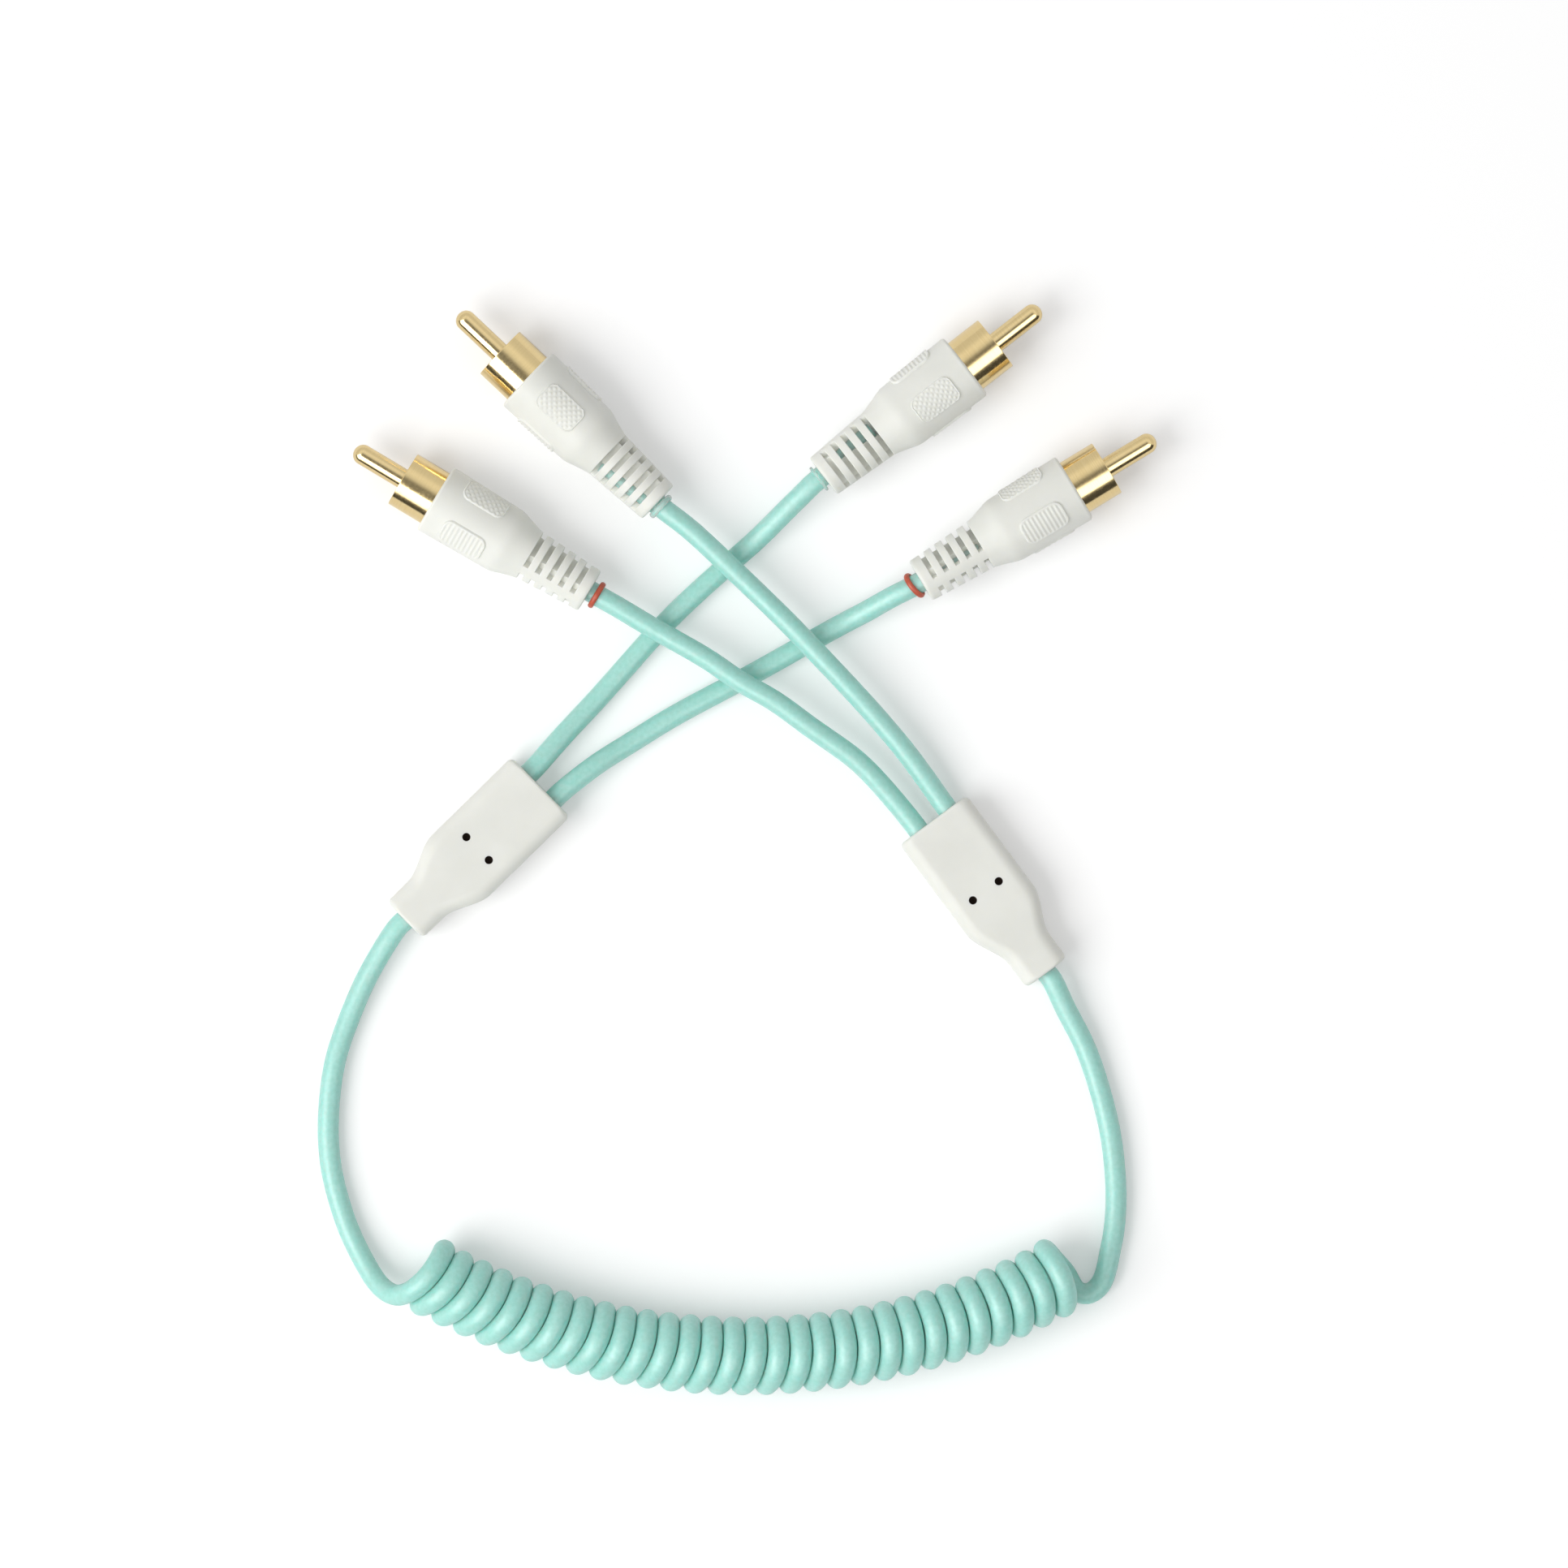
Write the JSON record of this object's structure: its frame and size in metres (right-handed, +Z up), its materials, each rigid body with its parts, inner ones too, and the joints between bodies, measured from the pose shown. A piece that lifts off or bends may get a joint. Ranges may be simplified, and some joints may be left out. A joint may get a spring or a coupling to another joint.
{
  "type": "rca audio cable",
  "caption": "Stereo audio cable with gold-plated phono plugs in moulded strain-relief shells, marker rings, splitters and a coiled round cord, lying as put down.",
  "frame": {"origin": "on the table, below the middle of the outer size of the plugs and splitters", "axes": "+Z up from the table, -Y towards the coil, +X to the right of someone who has the coil nearest"},
  "size_m": [0.1305, 0.1698, 0.0121],
  "materials": {
    "shell_vinyl": "fine matte moulded vinyl, warm pale grey",
    "gold_plate": "bright turned brass, gold plated",
    "insulator_plastic": "ivory moulded plastic",
    "mint_cord": "soft satin mint-green vinyl jacket",
    "red_ring": "smooth brick-red vinyl ring",
    "clear_ring": "translucent colourless vinyl ring"
  },
  "bodies": {
    "root": {"plug_1_shell": "shell_vinyl", "plug_1_barrel": "gold_plate", "plug_1_insulator": "insulator_plastic", "plug_1_pin": "gold_plate", "plug_2_shell": "shell_vinyl", "plug_2_barrel": "gold_plate", "plug_2_insulator": "insulator_plastic", "plug_2_pin": "gold_plate", "plug_3_shell": "shell_vinyl", "plug_3_barrel": "gold_plate", "plug_3_insulator": "insulator_plastic", "plug_3_pin": "gold_plate", "plug_4_shell": "shell_vinyl", "plug_4_barrel": "gold_plate", "plug_4_insulator": "insulator_plastic", "plug_4_pin": "gold_plate", "marker_ring_1": "red_ring", "marker_ring_2": "clear_ring", "marker_ring_3": "clear_ring", "marker_ring_4": "red_ring", "splitter_left": "shell_vinyl", "splitter_right": "shell_vinyl", "leg_cord_1": "mint_cord", "leg_cord_2": "mint_cord", "leg_cord_3": "mint_cord", "leg_cord_4": "mint_cord", "stem_cord_left": "mint_cord", "stem_cord_right": "mint_cord", "coil_cord": "mint_cord"}
  },
  "joints": []
}
